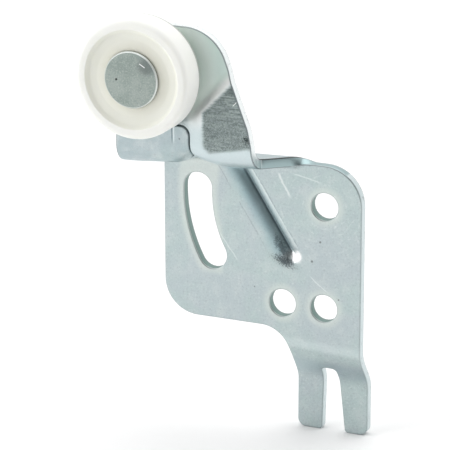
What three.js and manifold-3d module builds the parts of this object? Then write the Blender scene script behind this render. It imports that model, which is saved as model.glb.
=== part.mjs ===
// Single-wheel hanger for a light sliding door, millimetres, +Z up.
// The plate's flat front face lies in y = 0 and rests against the back of the door, which is on the -Y side.
// The origin is a point on that face; +X runs to the right as seen from the door side.

import * as THREE from "three";
import { mergeVertices } from "three/addons/utils/BufferGeometryUtils.js";
import Module from "manifold-3d";

const wasm = await Module();
wasm.setup();

// ---------------------------------------------------------------- driving dimensions
const SHEET = 1.9;                 // 14 gauge steel
const ARC_STEPS = 12;              // segments in a quarter turn of an outline
const REACH = 100;                 // length of stock and of the largest cutters
const THROUGH = 10;                // half length of a cutter for a hole

// plate outline, seen from the front
const PLATE_LEFT = -16;
const PLATE_RIGHT = 23.2;
const PLATE_BOTTOM = -10.3;
const PLATE_TOP = 21.75;
const TOP_CORNER_R = 7.3;
const LOW_CORNER_R = 6.6;
const NECK_FILLET_R = 6;

// adjusting holes and slot
const PIVOT = { x: 16, z: 14 };
const HOLE_R = 2.6;
const LOW_HOLE_Z = -5.5;
const LOW_HOLES_X = [7.8, 16];
const SLOT_R = 25.25;              // centre line, about the pivot hole
const SLOT_HALF_WIDTH = 2.8;
const SLOT_START = 178.3;          // degrees
const SLOT_END = 208.2;

// forked tail
const FORK_LEFT = 9.5;
const FORK_RIGHT = 23.4;
const FORK_BOTTOM = -30.75;
const FORK_SLOT = { left: 14.7, right: 17.5, mouthLeft: 14.35, mouthRight: 18.95, top: -17.9, r: 0.7 };
const PRONG_R = 1.6;
const TAIL_OFFSET = 3.8;           // how far the tail stands back from the plate
const TAIL_START = -13.6;
const TAIL_END = -21.4;

// shelf and arm
const SHELF_UNDER = 20.8;          // underside height above the origin
const SHELF_ROLL = 2;              // degrees, rising to the right
const ARM_FRONT = -7.94;           // 5/16 inch offset
const PLATE_BEND_R = 1.2;          // inside radius between plate and shelf
const ARM_BEND_R = 2.3;            // inside radius between shelf and arm
const BEND_STEPS = 7;
const BEND_Y = ARM_FRONT + SHEET + ARM_BEND_R;   // where the shelf ends and the arm's bend begins
const BEND_START_Z = SHELF_UNDER - PLATE_BEND_R - 0.6;
const SHELF_RIGHT = { atArm: 8, atPlate: 11.3 };
const SHELF_MOUTH_Y = -0.2;        // where the shelf's slanted ends meet the plate

// skirt beside the arm
const SKIRT_LEFT = -22;
const SKIRT_TOP = 28.4;
const SKIRT_R = 1.7;
const SLIT = { left: -7.75, right: -7.25 };

// arm outline
const AXLE = { x: -15.6, z: 38 };
const PAD_R = 8.8;                 // round end of the arm about the axle
const ARM_SHOULDER = { x: -8.4, z: 38.5, r: 8.3 };
const ARM_EDGE = [[4.1, 29.1], [4.9, 25.2], [6, 22.4], [8, 20.9]];
const PAD_SETBACK = 0.75;          // the axle pad is pressed back from the rest of the arm
const PAD_LINE = { from: [0.2, 37.6], to: [-7.5, 29.7] };

// stiffening groove, pressed into the front and standing out at the back
const GROOVE = { from: [0.4, 18.2], to: [8.2, 5.1], halfWidth: 2.9, depth: 1.5, bumpExtra: 0.9 };
const GROOVE_SIDES = 10;           // straight runs that make up the groove's rounded section

// wheel and axle, measured along the axle from the arm pad towards the front
const WHEEL_R = 11.1;              // 7/8 inch wheel
const WHEEL_WIDTH = 6.35;          // 1/4 inch
const WHEEL_BACK = -8.55;
const BORE_R = 3.1;
const JOURNAL_R = 3;
const TENON_R = 2.2;
const ARM_HOLE_R = 2.3;
const WASHER_R = 5;
const HEAD_R = 5.25;
const HEAD_FRONT = -15;
const TAIL_HEAD_R = 3.7;
const TAIL_HEAD_H = 1.3;
const GAP = 0.05;                  // between faces that rest on each other
const ROUND_STEPS = 72;

// ---------------------------------------------------------------- materials
const zinc = () => new THREE.MeshStandardMaterial({ color: 0xc3cccb, roughness: 0.38, metalness: 0.9 });
const nylon = () => new THREE.MeshStandardMaterial({ color: 0xf1eee0, roughness: 0.45, metalness: 0 });
const steel = () => new THREE.MeshStandardMaterial({ color: 0x9aa09c, roughness: 0.4, metalness: 0.9 });

// ---------------------------------------------------------------- solid helpers
function solid(geometry) {
  const bare = geometry.index ? geometry.clone() : geometry;
  bare.deleteAttribute("normal");
  bare.deleteAttribute("uv");
  const merged = mergeVertices(bare, 1e-5);
  return new wasm.Manifold(new wasm.Mesh({
    numProp: 3,
    vertProperties: new Float32Array(merged.attributes.position.array),
    triVerts: new Uint32Array(merged.index.array),
  }));
}

function geometryOf(manifold) {
  const mesh = manifold.getMesh();
  const geometry = new THREE.BufferGeometry();
  geometry.setAttribute("position", new THREE.BufferAttribute(new Float32Array(mesh.vertProperties), 3));
  geometry.setIndex(new THREE.BufferAttribute(new Uint32Array(mesh.triVerts), 1));
  geometry.computeVertexNormals();
  return geometry;
}

const X = new THREE.Vector3(1, 0, 0);
const Y = new THREE.Vector3(0, 1, 0);
const Z = new THREE.Vector3(0, 0, 1);

function extruded(shape, depth, basis, offset) {
  const geometry = new THREE.ExtrudeGeometry(shape, { depth, bevelEnabled: false, curveSegments: ARC_STEPS });
  geometry.applyMatrix4(new THREE.Matrix4().makeBasis(...basis));
  geometry.translate(...offset);
  return solid(geometry);
}

// An outline in x and z, thickened from yBack forwards to yFront.
function frontPrism(shape, yFront, yBack) {
  return extruded(shape, yBack - yFront, [X, Z, Y.clone().negate()], [0, yBack, 0]);
}

// A section in y and z, drawn out along x.
function sidePrism(shape, xStart = -REACH / 2, length = REACH) {
  return extruded(shape, length, [Y, Z, X], [xStart, 0, 0]);
}

// A plan outline in x and y, standing from zLow to zHigh.
function planPrism(shape, zLow, zHigh) {
  return extruded(shape, zHigh - zLow, [X, Y, Z], [0, 0, zLow]);
}

function polygon(points) {
  return new THREE.Shape(points.map(([u, v]) => new THREE.Vector2(u, v)));
}

function arc(cx, cy, r, fromDeg, toDeg, steps = ARC_STEPS) {
  const points = [];
  for (let i = 0; i <= steps; i += 1) {
    const angle = THREE.MathUtils.degToRad(fromDeg + ((toDeg - fromDeg) * i) / steps);
    points.push([cx + r * Math.cos(angle), cy + r * Math.sin(angle)]);
  }
  return points;
}

function disc(x, z, r, yFront, yBack) {
  return frontPrism(polygon(arc(x, z, r, 0, 360 - 360 / 48, 47)), yFront, yBack);
}

// A closed lathe about the axle; the profile holds [radius, y] pairs.
function turned(profile) {
  const closed = [...profile, profile[0]].map(([r, y]) => new THREE.Vector2(r, y));
  const geometry = new THREE.LatheGeometry(closed, ROUND_STEPS);
  geometry.translate(AXLE.x, 0, AXLE.z);
  return orientedOut(geometry);
}

// Turns every triangle round when the volume comes out negative.
function orientedOut(geometry) {
  geometry.deleteAttribute("normal");
  geometry.deleteAttribute("uv");
  const merged = mergeVertices(geometry, 1e-5);
  const p = merged.attributes.position;
  const index = merged.index.array;
  const kept = [];
  let volume = 0;
  const corners = [new THREE.Vector3(), new THREE.Vector3(), new THREE.Vector3()];
  for (let i = 0; i < index.length; i += 3) {
    const [a, b, c] = [index[i], index[i + 1], index[i + 2]];
    if (a === b || b === c || c === a) continue;
    kept.push(a, b, c);
    corners.forEach((v, k) => v.fromBufferAttribute(p, index[i + k]));
    volume += corners[0].dot(corners[1].clone().cross(corners[2]));
  }
  if (volume < 0) kept.reverse();
  merged.setIndex(kept);
  merged.computeVertexNormals();
  return merged;
}

// ---------------------------------------------------------------- hanger plate
// The section of plate, shelf and arm: one sheet bent forwards and then up.
function upperSection() {
  const shelfTop = SHELF_UNDER + SHEET;
  const bend1 = { y: -PLATE_BEND_R, z: SHELF_UNDER - PLATE_BEND_R };
  const bend2 = { y: ARM_FRONT + SHEET + ARM_BEND_R, z: shelfTop + ARM_BEND_R };
  const top = AXLE.z + REACH / 4;
  const low = PLATE_BOTTOM + LOW_CORNER_R;
  return polygon([
    [0, low],
    ...arc(bend1.y, bend1.z, PLATE_BEND_R, 0, 90, BEND_STEPS),
    ...arc(bend2.y, bend2.z, ARM_BEND_R + SHEET, 270, 180, BEND_STEPS),
    [ARM_FRONT, top],
    [ARM_FRONT + SHEET, top],
    ...arc(bend2.y, bend2.z, ARM_BEND_R, 180, 270, BEND_STEPS),
    ...arc(bend1.y, bend1.z, PLATE_BEND_R + SHEET, 90, 0, BEND_STEPS),
    [SHEET, low],
  ]);
}

// The section of plate and tail: the tail stands back by an eased step.
function lowerSection() {
  const front = [];
  const back = [];
  const steps = 2 * BEND_STEPS;
  for (let i = 0; i <= steps; i += 1) {
    const t = i / steps;
    const eased = t * t * (3 - 2 * t);
    const z = TAIL_START + (TAIL_END - TAIL_START) * t;
    const slope = (6 * t * (1 - t) * TAIL_OFFSET) / (TAIL_START - TAIL_END);
    const lean = Math.atan(slope);
    front.push([TAIL_OFFSET * eased, z]);
    back.push([TAIL_OFFSET * eased + SHEET * Math.cos(lean), z + SHEET * Math.sin(lean)]);
  }
  const bottom = FORK_BOTTOM - REACH / 4;
  return polygon([
    [0, PLATE_TOP],
    ...front,
    [TAIL_OFFSET, bottom],
    [TAIL_OFFSET + SHEET, bottom],
    ...back.reverse(),
    [SHEET, PLATE_TOP],
  ]);
}

// The flat plate and its tail; under the shelf it stops where the bend begins.
function plateOutline() {
  const bendStart = BEND_START_Z;
  return polygon([
    [PLATE_LEFT, bendStart],
    ...arc(PLATE_LEFT + LOW_CORNER_R, PLATE_BOTTOM + LOW_CORNER_R, LOW_CORNER_R, 180, 270),
    ...arc(FORK_LEFT - NECK_FILLET_R, PLATE_BOTTOM - NECK_FILLET_R, NECK_FILLET_R, 90, 0),
    ...arc(FORK_LEFT + PRONG_R, FORK_BOTTOM + PRONG_R, PRONG_R, 180, 270),
    ...arc(FORK_RIGHT - PRONG_R, FORK_BOTTOM + PRONG_R, PRONG_R, 270, 360),
    [FORK_RIGHT, TAIL_END],
    [PLATE_RIGHT, TAIL_START],
    ...arc(PLATE_RIGHT - TOP_CORNER_R, PLATE_TOP - TOP_CORNER_R, TOP_CORNER_R, 0, 90),
    [SHELF_RIGHT.atPlate, PLATE_TOP],
    [SHELF_RIGHT.atPlate, bendStart],
  ]);
}

function forkSlot() {
  const { left, right, mouthLeft, mouthRight, top, r } = FORK_SLOT;
  const lip = 0.7;
  return polygon([
    ...arc(left + r, top - r, r, 180, 90, 4),
    ...arc(right - r, top - r, r, 90, 0, 4),
    ...arc(mouthRight + lip, FORK_BOTTOM + lip, lip, 180, 270, 4),
    [mouthRight + lip, FORK_BOTTOM - 1],
    [mouthLeft - lip, FORK_BOTTOM - 1],
    ...arc(mouthLeft - lip, FORK_BOTTOM + lip, lip, 270, 360, 4),
  ]);
}

function arcSlot() {
  const { x, z } = PIVOT;
  const outer = SLOT_R + SLOT_HALF_WIDTH;
  const inner = SLOT_R - SLOT_HALF_WIDTH;
  const end = (deg) => {
    const angle = THREE.MathUtils.degToRad(deg);
    return [x + SLOT_R * Math.cos(angle), z + SLOT_R * Math.sin(angle)];
  };
  const top = end(SLOT_START);
  const bottom = end(SLOT_END);
  return polygon([
    ...arc(x, z, outer, SLOT_START, SLOT_END),
    ...arc(...bottom, SLOT_HALF_WIDTH, SLOT_END, SLOT_END + 180).slice(1, -1),
    ...arc(x, z, inner, SLOT_END, SLOT_START),
    ...arc(...top, SLOT_HALF_WIDTH, SLOT_START - 180, SLOT_START).slice(1, -1),
  ]);
}

// The arm seen from the front: a round pad about the axle, a shoulder and a slanting edge.
function armOutline() {
  const { x, z, r } = ARM_SHOULDER;
  return polygon([
    [SLIT.right, 0],
    [SHELF_RIGHT.atArm, 0],
    ...ARM_EDGE.slice().reverse(),
    ...arc(x, z, r, 24, 90),
    ...arc(AXLE.x, AXLE.z, PAD_R, 90, 262, 2 * ARC_STEPS),
    [SLIT.left, AXLE.z - PAD_R + 0.6],
    [SLIT.right, AXLE.z - PAD_R],
  ]);
}

function skirtOutline() {
  return polygon([
    [SKIRT_LEFT, 0],
    [SLIT.left, 0],
    ...arc(SLIT.left - SKIRT_R, SKIRT_TOP - SKIRT_R, SKIRT_R, 0, 90, 6),
    ...arc(SKIRT_LEFT + SKIRT_R, SKIRT_TOP - SKIRT_R, SKIRT_R, 90, 180, 6),
  ]);
}

// The plan of the shelf and its bend into the plate, tapering back to the plate at both ends.
function shelfPlan() {
  return polygon([
    [SKIRT_LEFT, BEND_Y],
    [SHELF_RIGHT.atArm, BEND_Y],
    [SHELF_RIGHT.atPlate, SHELF_MOUTH_Y],
    [SHELF_RIGHT.atPlate, REACH / 4],
    [PLATE_LEFT, REACH / 4],
    [PLATE_LEFT, SHELF_MOUTH_Y],
  ]);
}

// The groove's smooth section, swept along its line and closed by a rounded end at each side.
function grooveTool(halfWidth, depth, faceY) {
  const { from, to } = GROOVE;
  const along = new THREE.Vector3(to[0] - from[0], 0, to[1] - from[1]);
  const length = along.length();
  along.normalize();
  const side = new THREE.Vector3().crossVectors(Y, along);
  const start = new THREE.Vector3(from[0], faceY, from[1]);
  const taper = [0, 0.3, 0.6, 0.85, 0.98].map((past) => ({ past, size: Math.sqrt(1 - past * past) }));
  const sections = [
    ...taper.map(({ past, size }) => ({ at: -past * halfWidth, size })).reverse(),
    ...taper.map(({ past, size }) => ({ at: length + past * halfWidth, size })),
  ];
  const points = [];
  for (const { at, size } of sections) {
    for (let k = 0; k <= GROOVE_SIDES; k += 1) {
      const across = (2 * k) / GROOVE_SIDES - 1;
      const sink = Math.cos((across * Math.PI) / 2) ** 2;
      const p = start.clone().addScaledVector(along, at);
      p.addScaledVector(side, across * halfWidth * size);
      p.addScaledVector(Y, sink * depth * size);
      points.push(p);
    }
  }
  return ringHull(points, GROOVE_SIDES + 1);
}

// Joins equal rings of points into one closed mesh with flat ends.
function ringHull(points, count) {
  const index = [];
  const rings = points.length / count;
  for (let ring = 0; ring + 1 < rings; ring += 1) {
    for (let k = 0; k < count; k += 1) {
      const a = ring * count + k;
      const b = ring * count + ((k + 1) % count);
      index.push(a, b, a + count, b, b + count, a + count);
    }
  }
  const last = (rings - 1) * count;
  for (let k = 1; k + 1 < count; k += 1) {
    index.push(0, k + 1, k);
    index.push(last, last + k, last + k + 1);
  }
  const geometry = new THREE.BufferGeometry();
  geometry.setAttribute("position", new THREE.Float32BufferAttribute(points.flatMap((p) => p.toArray()), 3));
  geometry.setIndex(index);
  return solid(orientedOut(geometry));
}

function padHalfPlane() {
  const [x0, z0] = PAD_LINE.from;
  const [x1, z1] = PAD_LINE.to;
  const run = new THREE.Vector2(x0 - x1, z0 - z1).normalize().multiplyScalar(REACH / 2);
  return polygon([
    [x1, z1],
    [x0 + run.x, z0 + run.y],
    [x1 - REACH / 2, z0 + run.y],
    [x1 - REACH / 2, z1],
  ]);
}

function hangerPlate() {
  const roll = new THREE.Matrix4()
    .makeTranslation(0, 0, SHELF_UNDER)
    .multiply(new THREE.Matrix4().makeRotationY(THREE.MathUtils.degToRad(-SHELF_ROLL)))
    .multiply(new THREE.Matrix4().makeTranslation(0, 0, -SHELF_UNDER));
  const bentSheet = solid(geometryOf(sidePrism(upperSection())).applyMatrix4(roll));

  const flatPlate = sidePrism(lowerSection()).intersect(frontPrism(plateOutline(), -REACH / 4, REACH / 4));
  const shelf = bentSheet.intersect(planPrism(shelfPlan(), BEND_START_Z - 0.1, AXLE.z));
  const pressedBack = frontPrism(padHalfPlane(), -REACH / 4, REACH / 4);
  const arm = frontPrism(armOutline(), -REACH / 4, BEND_Y);
  const skirt = frontPrism(skirtOutline(), -REACH / 4, BEND_Y);
  const upright = bentSheet.intersect(arm.subtract(pressedBack).add(skirt));
  const padFront = ARM_FRONT + PAD_SETBACK;
  const pad = frontPrism(armOutline(), padFront, padFront + SHEET).intersect(pressedBack);
  const bump = grooveTool(GROOVE.halfWidth + GROOVE.bumpExtra, GROOVE.depth, SHEET - 0.01);

  const cuts = [
    grooveTool(GROOVE.halfWidth, GROOVE.depth, -0.01),
    ...LOW_HOLES_X.map((x) => disc(x, LOW_HOLE_Z, HOLE_R, -THROUGH, THROUGH)),
    disc(PIVOT.x, PIVOT.z, HOLE_R, -THROUGH, THROUGH),
    frontPrism(arcSlot(), -THROUGH, THROUGH),
    frontPrism(forkSlot(), -THROUGH, THROUGH),
    disc(AXLE.x, AXLE.z, ARM_HOLE_R, -2 * THROUGH, 0),
  ];
  const sheet = flatPlate.add(shelf).add(upright).add(pad).add(bump);
  return geometryOf(cuts.reduce((rest, cut) => rest.subtract(cut), sheet));
}

// ---------------------------------------------------------------- wheel, axle and washer
function rollerWheel() {
  const back = WHEEL_BACK;
  const front = WHEEL_BACK - WHEEL_WIDTH;
  const edge = 1.5;
  const hubFront = front + 1.65;
  return turned([
    [BORE_R, back],
    [5.6, back],
    [5.9, back - 0.5],
    [8.6, back - 0.5],
    [8.9, back],
    ...arc(WHEEL_R - edge, back - edge, edge, 90, 0, 6),
    ...arc(WHEEL_R - edge, front + edge, edge, 0, -90, 6),
    [9.15, front + 0.1],
    [5.6, hubFront - 0.15],
    [BORE_R, hubFront],
  ]);
}

function axleRivet() {
  const padBack = ARM_FRONT + PAD_SETBACK + SHEET;
  const washerFront = ARM_FRONT + PAD_SETBACK - 1.2 - GAP;
  const headBack = WHEEL_BACK - WHEEL_WIDTH + 1.65 - 0.15;
  const bevel = 0.25;
  const profile = [
    [0, HEAD_FRONT],
    [HEAD_R - bevel, HEAD_FRONT],
    [HEAD_R, HEAD_FRONT + bevel],
    [HEAD_R, headBack - 0.15],
    [HEAD_R - 0.15, headBack],
    [JOURNAL_R, headBack],
    [JOURNAL_R, washerFront - GAP],
    [TENON_R, washerFront - GAP],
    [TENON_R, padBack + GAP],
    [TAIL_HEAD_R, padBack + GAP],
    [TAIL_HEAD_R - 0.3, padBack + 0.6 * TAIL_HEAD_H],
    [TAIL_HEAD_R - 1.4, padBack + TAIL_HEAD_H],
    [0, padBack + TAIL_HEAD_H],
  ];
  const geometry = new THREE.LatheGeometry(profile.map(([r, y]) => new THREE.Vector2(r, y)), ROUND_STEPS);
  geometry.translate(AXLE.x, 0, AXLE.z);
  return orientedOut(geometry);
}

function spacerWasher() {
  const back = ARM_FRONT + PAD_SETBACK - GAP;
  const front = back - 1.2 + GAP;
  return turned([
    [ARM_HOLE_R, back],
    [WASHER_R - 0.2, back],
    [WASHER_R, back - 0.2],
    [WASHER_R, front + 0.2],
    [WASHER_R - 0.2, front],
    [ARM_HOLE_R, front],
  ]);
}

// ---------------------------------------------------------------- assembly
function piece(name, geometry, material) {
  const mesh = new THREE.Mesh(geometry, material);
  mesh.name = name;
  return mesh;
}

const hanger = new THREE.Group();
hanger.name = "hanger";
hanger.add(
  piece("hanger_plate", hangerPlate(), zinc()),
  piece("axle_rivet", axleRivet(), steel()),
  piece("spacer_washer", spacerWasher(), zinc()),
);

const group = new THREE.Group();
group.name = "sliding_door_roller";
group.add(hanger, piece("roller_wheel", rollerWheel(), nylon()));

export default group;
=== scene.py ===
"""Single-wheel hanger for a sliding door: a zinc plated sheet with a nylon wheel riveted to its arm.

Sizes are in millimetres while a piece is being worked, and the finished piece is brought to metres.
"""

import math

import bmesh
import bpy
from mathutils import Matrix, Vector


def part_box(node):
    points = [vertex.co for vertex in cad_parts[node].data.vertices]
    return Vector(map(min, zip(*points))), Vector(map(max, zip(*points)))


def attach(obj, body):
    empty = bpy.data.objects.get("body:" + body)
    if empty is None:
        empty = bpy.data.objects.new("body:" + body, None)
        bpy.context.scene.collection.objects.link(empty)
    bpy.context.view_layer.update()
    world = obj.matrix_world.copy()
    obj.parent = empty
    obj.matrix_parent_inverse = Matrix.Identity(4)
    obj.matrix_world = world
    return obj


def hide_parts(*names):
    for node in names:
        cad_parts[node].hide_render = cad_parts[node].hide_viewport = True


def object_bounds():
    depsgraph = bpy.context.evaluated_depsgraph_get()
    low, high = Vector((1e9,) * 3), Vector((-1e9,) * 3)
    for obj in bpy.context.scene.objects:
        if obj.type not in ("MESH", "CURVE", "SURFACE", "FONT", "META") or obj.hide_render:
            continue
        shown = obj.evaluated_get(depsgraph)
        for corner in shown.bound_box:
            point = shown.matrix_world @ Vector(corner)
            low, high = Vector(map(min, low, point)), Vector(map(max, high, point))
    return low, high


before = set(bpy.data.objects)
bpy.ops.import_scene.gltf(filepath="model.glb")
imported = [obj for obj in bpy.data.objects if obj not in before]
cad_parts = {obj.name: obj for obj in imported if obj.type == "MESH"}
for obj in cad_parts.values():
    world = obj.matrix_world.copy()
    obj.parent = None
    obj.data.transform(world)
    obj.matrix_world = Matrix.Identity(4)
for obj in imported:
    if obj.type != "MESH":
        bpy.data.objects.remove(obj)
cad_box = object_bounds()

METRE = 1000.0                     # millimetres in a metre


def cad_box_mm(node):
    low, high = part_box(node)
    return low * METRE, high * METRE


plate_low, plate_high = cad_box_mm("hanger_plate")
wheel_low, wheel_high = cad_box_mm("roller_wheel")
rivet_low, rivet_high = cad_box_mm("axle_rivet")
washer_low, washer_high = cad_box_mm("spacer_washer")

# ---------------------------------------------------------------- sizes of the sheet
SHEET = 1.9
RIM = 0.20                         # rounding left on a sheared edge
RIM_HOLD = 0.06                    # narrow flat that holds the rounding's edge
ARM_FRONT = plate_low.y
TAIL_OFFSET = plate_high.y - SHEET

PLATE_LEFT = -16.0
PLATE_RIGHT = 23.2
PLATE_BOTTOM = -10.3
PLATE_TOP = 21.75
TOP_CORNER_R = 7.3
LOW_CORNER_R = 6.6
NECK_FILLET_R = 6.0

PIVOT = (16.0, 14.0)
LOW_HOLES = [(7.8, -5.5), (16.0, -5.5)]
HOLE_R = 2.6
SLOT_R = 25.25                     # centre line of the curved slot, about the pivot hole
SLOT_HALF_WIDTH = 2.8
SLOT_START = 178.3                 # degrees about the pivot hole
SLOT_END = 208.2

FORK_LEFT = 9.5
FORK_RIGHT = plate_high.x
FORK_BOTTOM = plate_low.z
FORK_TOP = -17.9                   # crown of the gap between the prongs
GAP_LEFT, GAP_RIGHT = 14.7, 17.5
MOUTH_LEFT, MOUTH_RIGHT = 14.35, 18.95
PRONG_R = 1.6
TAIL_START = -13.6
TAIL_END = -21.4

SHELF_UNDER = 20.8                 # height of the shelf's underside
SHELF_ROLL = math.radians(2.0)     # the shelf rises to the right
PLATE_BEND_R = 1.2                 # inside radii of the two bends
ARM_BEND_R = 2.3
CURL_START, CURL_END = 10.6, 15.0  # between these the first bend fades into the flat plate
SKIRT_LEFT = -22.0
SKIRT_TOP = 28.4
SKIRT_R = 1.7
SLIT_LEFT, SLIT_RIGHT = -7.55, -7.4
SLIT_FOOT_X = -6.73                # in the blank, where the roll has moved it along
CUSP_HEIGHT = 1.5                  # the bend is drawn up on both sides of the slit
CUSP_LEFT, CUSP_RIGHT = 4.0, 6.0
SKIRT_DROOP = 0.45                 # the skirt's far end hangs a little
DROOP_FROM, DROOP_LENGTH = -9.0, 12.0

AXLE = (wheel_low + wheel_high) / 2
DISH_R = 9.25                      # the wheel's face is dished inside this radius
DISH_DEPTH = 0.85
HUB_DEPTH = 0.6                    # the wheel rises again to meet the rivet's head
PAD_R = 8.8
SHOULDER = (-8.4, 38.5)
SHOULDER_R = 8.3
ARM_HOLE_R = 2.3
PAD_SETBACK = 0.75                 # the axle pad is pressed back from the rest of the arm
PAD_EDGE = ((0.2, 37.6), (-7.5, 29.7))
PAD_STEP = 3.0                     # width of the rounded step down to the pad
STEP_START = 1.1                   # the step starts this far ahead of the pad's edge
STEP_CORNER = 0.5                  # how softly its two edges meet
SLIT_SETBACK = 0.25                # share of the setback that is reached beside the slit
SCUFF_LEFT = -5.6                  # the step down beside the slit is measured from here

GROOVE_FROM, GROOVE_TO = (-0.7, 20.0), (9.3, 4.5)
GROOVE_LEFT, GROOVE_RIGHT = 3.7, 1.9   # the groove's widths on the two sides of its valley
GROOVE_END = 2.2                   # and beyond its ends
GROOVE_DEPTH = 1.1
VALLEY_ROUNDING = 0.08
GROOVE_CUTS = [0.06, 0.15, 0.28, 0.45, 0.65, 0.9, 1.15, 1.4, 1.65, 1.9, 2.1, 2.4, 2.7, 3.0, 3.3, 3.6, 3.9]

# marks on the plating: (x, z) middle, direction, half length, half width and strength
PLATE_SCRATCHES = [
    ((8.0, 17.2), (0.50, -0.866), 3.0, 0.30, 0.7),
    ((12.5, 19.0), (0.98, -0.2), 3.2, 0.22, 0.5),
    ((15.0, -1.0), (0.8, -0.6), 2.6, 0.16, 0.6),
    ((-3.0, 4.0), (0.6, -0.8), 3.5, 0.18, 0.5),
]
PLATE_PITS = [((15.2, 7.2), 0.22), ((13.6, 3.3), 0.25), ((2.2, -3.1), 0.16), ((18.9, -3.4), 0.18)]
SKIRT_PIT = (-9.3, 26.0)
CREASE_X, CREASE_LIT_X = -10.72, -10.40
ARM_DENT = (4.0, 27.2)
ARM_NICK = (1.6, 33.7)
GROOVE_END_SHADE = (8.1, 2.6)                 # painted shade at the groove's lower end
GROOVE_FLANK_SHADE = (7.5, 4.9)           # and up its left flank
# painted highlight at the groove's lower end
GROOVE_END_HIGHLIGHT = (10.4, 3.75)
SLOPE_OF_MARKS = 0.06              # the tail's bands fall to the right, by this much in each millimetre

# the studio
CAMERA_AZIMUTH, CAMERA_ELEVATION = math.radians(23.94), math.radians(17.74)
CAMERA_DISTANCE = 0.553            # metres, as AIM_SHIFT and FLOOR_SIZE are
CAMERA_LENS, CAMERA_SENSOR = 240, 36
AIM_SHIFT = (-0.00213, -0.00113)   # from the middle of the part, across and up
FLOOR_SIZE = 6.0


# ---------------------------------------------------------------- drawing outlines
def arc(centre, radius, from_deg, to_deg, steps):
    points = []
    for i in range(steps + 1):
        angle = math.radians(from_deg + (to_deg - from_deg) * i / steps)
        points.append((centre[0] + radius * math.cos(angle), centre[1] + radius * math.sin(angle)))
    return points


def rounded(corners, step_deg=7.5):
    """An outline through (a, b, radius) corners, with each corner turned into an arc of its radius."""
    points = []
    for i, (a, b, radius) in enumerate(corners):
        here = Vector((a, b))
        if not radius:
            points.append((a, b))
            continue
        into = (Vector(corners[i - 1][:2]) - here).normalized()
        away = (Vector(corners[(i + 1) % len(corners)][:2]) - here).normalized()
        half = into.angle(away) / 2
        centre = here + (into + away).normalized() * radius / math.sin(half)
        first = here + into * radius / math.tan(half) - centre
        last = here + away * radius / math.tan(half) - centre
        start = math.degrees(math.atan2(first.y, first.x))
        sweep = math.degrees(math.atan2(last.y, last.x)) - start
        sweep = (sweep + 180) % 360 - 180
        steps = max(3, math.ceil(abs(sweep) / step_deg))
        points += arc(centre, radius, start, start + sweep, steps)
    return points


def eased(t):
    t = min(max(t, 0.0), 1.0)
    return t * t * (3 - 2 * t)


# ---------------------------------------------------------------- working a mesh
def new_piece(name, points, lift=0.0):
    """A ring of edges through the outline's points, standing in the XZ plane, in edit mode."""
    bpy.ops.object.select_all(action="DESELECT")
    bpy.ops.mesh.primitive_circle_add(vertices=len(points), radius=1)
    piece = bpy.context.object
    piece.name = name
    for vertex, (x, z) in zip(piece.data.vertices, points):
        vertex.co = (x, lift, z)
    bpy.ops.object.mode_set(mode="EDIT")
    bpy.ops.mesh.select_all(action="SELECT")
    return piece


def add_ring(points, lift):
    """One more ring of edges in the piece that is being edited."""
    piece = bpy.context.object
    before = len(piece.data.vertices)
    bpy.ops.mesh.primitive_circle_add(vertices=len(points), radius=1)
    bpy.ops.object.mode_set(mode="OBJECT")
    for vertex, (x, z) in zip(piece.data.vertices[before:], points):
        vertex.co = (x, lift, z)
    bpy.ops.object.mode_set(mode="EDIT")


def select_faces(piece, wanted):
    """Selects the faces for which wanted(centre, normal) is true."""
    bpy.ops.mesh.select_mode(type="FACE")
    bpy.ops.mesh.select_all(action="DESELECT")
    mesh = bmesh.from_edit_mesh(piece.data)
    for face in mesh.faces:
        face.select_set(wanted(face.calc_center_median(), face.normal))
    mesh.select_flush_mode()
    bmesh.update_edit_mesh(piece.data)


def round_rim(steps=3):
    """Rounds the rim of the selected flat faces by stepped insets, then holds the flat with a narrow one."""
    across, up = 0.0, 0.0
    for i in range(1, steps + 1):
        angle = math.pi / 2 * i / steps
        next_across, next_up = RIM * (1 - math.cos(angle)), RIM * math.sin(angle)
        bpy.ops.mesh.inset(thickness=next_across - across, depth=next_up - up, use_even_offset=True)
        across, up = next_across, next_up
    bpy.ops.mesh.inset(thickness=RIM_HOLD, depth=0, use_even_offset=True)


def cut_lines(piece, direction, distances, wanted=lambda centre, normal: True):
    """Cuts the wanted faces along lines across the sheet, at distances along a direction (x, z)."""
    across = Vector((direction[0], 0, direction[1])).normalized()
    for distance in distances:
        select_faces(piece, wanted)
        bpy.ops.mesh.bisect(plane_co=across * distance, plane_no=across, threshold=1e-5)


def spread(start, end, count):
    return [start + (end - start) * i / (count - 1) for i in range(count)]


def finish_piece(piece, body, node, smooth_deg=40):
    """Cleans the mesh, brings it to metres and puts the piece in the CAD node's place."""
    bpy.ops.mesh.select_mode(type="VERT")
    bpy.ops.mesh.select_all(action="SELECT")
    bpy.ops.mesh.remove_doubles(threshold=1e-4)
    bpy.ops.mesh.dissolve_degenerate(threshold=1e-4)
    bpy.ops.mesh.normals_make_consistent(inside=False)
    bpy.ops.object.mode_set(mode="OBJECT")
    piece.data.transform(Matrix.Scale(1 / METRE, 4))
    piece.matrix_world = Matrix.Identity(4)
    bpy.ops.object.shade_smooth_by_angle(angle=math.radians(smooth_deg))
    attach(piece, body)
    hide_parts(node)
    return piece


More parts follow.
